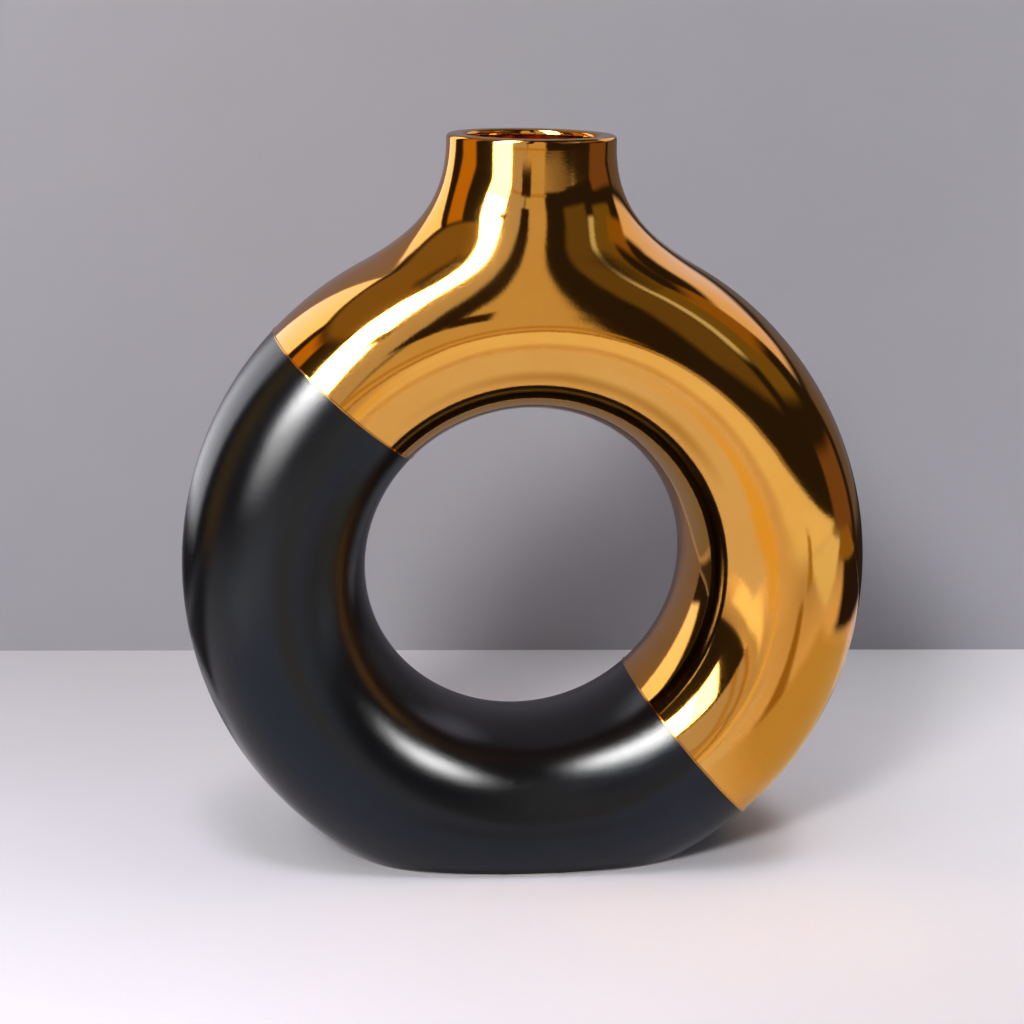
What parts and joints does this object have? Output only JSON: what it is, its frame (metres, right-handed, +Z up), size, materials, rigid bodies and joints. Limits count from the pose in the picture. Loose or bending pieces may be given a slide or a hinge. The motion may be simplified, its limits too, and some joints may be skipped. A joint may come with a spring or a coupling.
{
  "type": "vase",
  "caption": "Hollow ceramic ring vase with a short round neck, half in mirror gold and half in satin black, on a flat bare clay foot",
  "frame": {"origin": "middle of the flat foot, straight below the axis of the neck", "axes": "+X to the right along the width of the ring, +Y from the front to the back, +Z up along the axis of the neck"},
  "size_m": [0.2, 0.075, 0.21],
  "materials": {
    "bare_clay": "fired unglazed white clay",
    "black_glaze": "satin black glaze with a fine grain",
    "gold_lustre": "mirror-bright gold lustre fired on gloss glaze",
    "clear_glaze": "gloss clear glaze over the clay"
  },
  "bodies": {
    "root": {"clay_body": "bare_clay", "black_glaze": "black_glaze", "gold_coat": "gold_lustre", "inner_glaze": "clear_glaze"}
  },
  "joints": []
}
